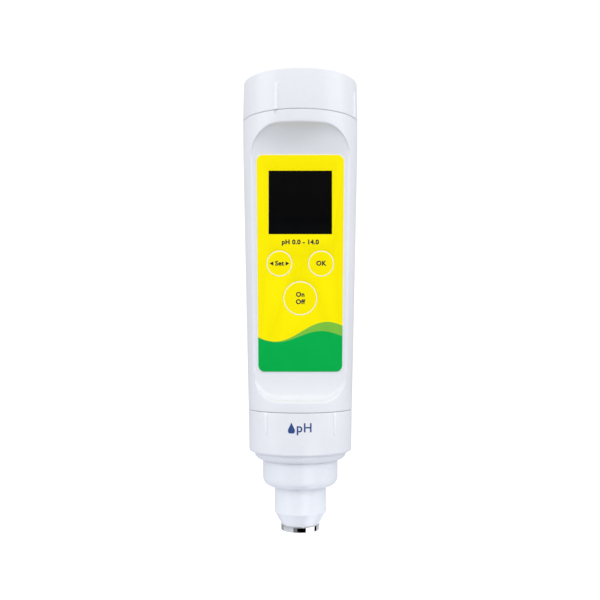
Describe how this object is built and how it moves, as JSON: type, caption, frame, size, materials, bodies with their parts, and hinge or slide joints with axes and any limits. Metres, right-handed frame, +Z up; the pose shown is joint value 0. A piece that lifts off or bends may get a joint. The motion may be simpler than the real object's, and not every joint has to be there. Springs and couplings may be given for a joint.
{
  "type": "digital pH meter",
  "caption": "Pen-shaped waterproof digital pH meter with a flat labelled front, display window, three keys, screw battery cap and replaceable probe held by a locking collar.",
  "frame": {"origin": "centre of the steel ring's lower face, on the barrel's axis, which is the bottom centre of the bounding box", "axes": "+Z up along the barrel from the sensing tip to the battery cap, +X to the right of a person who reads the display, -Y out of the labelled front"},
  "size_m": [0.04, 0.04, 0.1541],
  "materials": {
    "housing_plastic": "smooth moulded ABS, softly glossy, bluish white",
    "probe_plastic": "smooth moulded ABS, glossy, bluish white",
    "label_film": "printed polyester film, yellow with a green band, satin",
    "key_film": "printed polyester film over a moulded key, white ring at its edge",
    "display_glass": "black tinted clear plastic, polished",
    "lcd_glass": "liquid crystal glass, switched off",
    "white_plastic": "natural white moulded plastic",
    "dark_plastic": "dark moulded plastic",
    "black_rubber": "black nitrile rubber",
    "connector_rubber": "layered silicone connector strip",
    "circuit_board": "green solder mask on glass fibre board",
    "chip_plastic": "moulded epoxy chip body",
    "ceramic_part": "ceramic chip parts",
    "switch_metal": "pressed steel switch cover",
    "screw_steel": "plated steel",
    "battery_wrap": "plain blue shrink wrap with steel ends",
    "gold_plate": "gold plated spring metal",
    "ribbon_film": "flat flexible cable",
    "polished_steel": "polished stainless steel",
    "porous_junction": "porous plastic junction",
    "bulb_glass": "thin sensing glass",
    "silver": "chlorided silver wire"
  },
  "bodies": {
    "barrel": {"barrel_shell": "housing_plastic", "face_label": "label_film", "display_window": "display_glass", "display_panel": "lcd_glass", "display_frame": "white_plastic", "display_connectors": "connector_rubber", "key_gasket": "black_rubber", "main_board": "circuit_board", "processor_chip": "chip_plastic", "amplifier_chip": "chip_plastic", "board_parts": "ceramic_part", "key_switches": "switch_metal", "board_screws": "screw_steel", "battery_tray": "dark_plastic", "battery_left": "battery_wrap", "battery_right": "battery_wrap", "battery_spring": "screw_steel", "battery_stud": "gold_plate", "battery_terminals": "gold_plate", "probe_socket": "dark_plastic", "socket_terminals": "gold_plate", "ribbon_cable": "ribbon_film", "cap_seal": "black_rubber"},
    "contact_carrier": {"contact_disc": "white_plastic", "bridge_contact": "gold_plate"},
    "cap": {"battery_cap": "housing_plastic"},
    "probe": {"probe_housing": "probe_plastic", "collar_gasket": "black_rubber", "probe_seal": "black_rubber", "plug_pins": "gold_plate", "steel_ring": "polished_steel", "reference_junction": "porous_junction", "ph_bulb": "bulb_glass", "glass_stem": "bulb_glass", "silver_wire": "silver", "reference_wire": "silver", "temperature_sensor": "polished_steel"},
    "collar": {"locking_collar": "housing_plastic"},
    "key_left": {"key_cal": "key_film", "switch_button_cal": "dark_plastic"},
    "key_right": {"key_enter": "key_film", "switch_button_enter": "dark_plastic"},
    "key_large": {"key_hold": "key_film", "switch_button_hold": "dark_plastic"}
  },
  "joints": [
    {"name": "cap_lift", "type": "slide", "parent": "barrel", "child": "contact_carrier", "axis": [0, 0, 1], "range_m": [0, 0.006]},
    {"name": "cap_turn", "type": "hinge", "parent": "contact_carrier", "child": "cap", "pos_m": [0, 0, 0.15], "axis": [0, 0, 1], "range_deg": [0, 720]},
    {"name": "probe_drop", "type": "slide", "parent": "barrel", "child": "probe", "axis": [0, 0, -1], "range_m": [0, 0.006]},
    {"name": "collar_turn", "type": "hinge", "parent": "probe", "child": "collar", "pos_m": [0, 0, 0.034], "axis": [0, 0, -1], "range_deg": [0, 720]},
    {"name": "press_left", "type": "slide", "parent": "barrel", "child": "key_left", "axis": [0, 0.9998, 0.0217], "range_m": [0, 0.0003], "stiffness_N_per_m": 3000, "springref_m": -0.0003},
    {"name": "press_right", "type": "slide", "parent": "barrel", "child": "key_right", "axis": [0, 0.9998, 0.0217], "range_m": [0, 0.0003], "stiffness_N_per_m": 3000, "springref_m": -0.0003},
    {"name": "press_large", "type": "slide", "parent": "barrel", "child": "key_large", "axis": [0, 0.9998, 0.0217], "range_m": [0, 0.0003], "stiffness_N_per_m": 3000, "springref_m": -0.0003}
  ],
  "couplings": [
    {"joint": "cap_turn", "follows": "cap_lift", "rad_per_m": 2094.4},
    {"joint": "collar_turn", "follows": "probe_drop", "rad_per_m": 2094.4}
  ]
}
